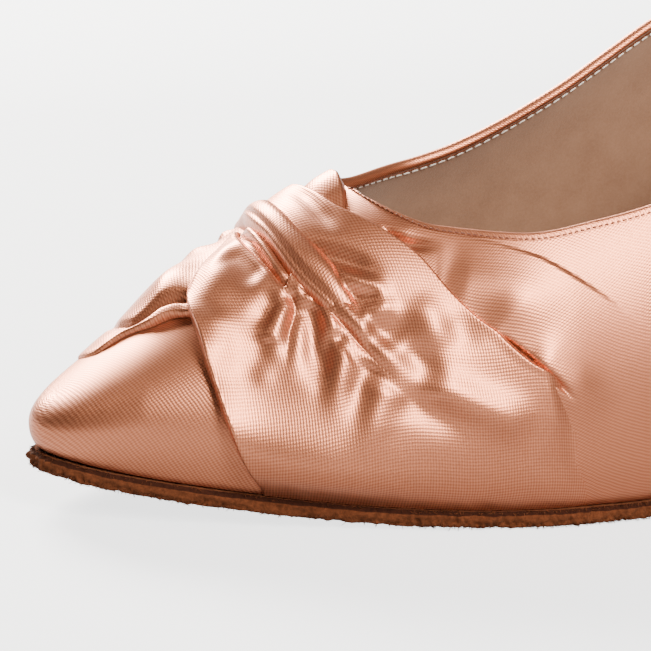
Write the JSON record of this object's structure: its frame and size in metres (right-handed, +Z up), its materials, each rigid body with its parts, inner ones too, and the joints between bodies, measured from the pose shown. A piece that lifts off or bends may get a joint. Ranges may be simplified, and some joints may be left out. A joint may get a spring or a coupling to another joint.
{
  "type": "ballroom court shoe",
  "caption": "Left pointed court shoe with a twisted cloth drape over the toe, a thin suede outsole and a flared covered heel.",
  "frame": {"origin": "centre of the heel tip's floor face", "axes": "+Z up; the toe points to -X; the outer side of the foot is -Y"},
  "size_m": [0.2379, 0.0814, 0.1134],
  "materials": {
    "satin": "peach satin with a fine slanting rib and a soft directional shine",
    "drape_satin": "peach satin, folded and twisted",
    "heel_satin": "peach satin stretched over the heel block",
    "sole_suede": "brown chrome suede with a rough cut edge",
    "sock": "beige brushed cloth",
    "tip_rubber": "matt brown"
  },
  "bodies": {
    "root": {"upper": "satin", "outsole": "sole_suede", "insole": "sock", "heel": "heel_satin", "heel_tip": "tip_rubber", "drape_outer": "drape_satin", "drape_inner": "drape_satin", "twist_knot": "drape_satin"}
  },
  "joints": []
}
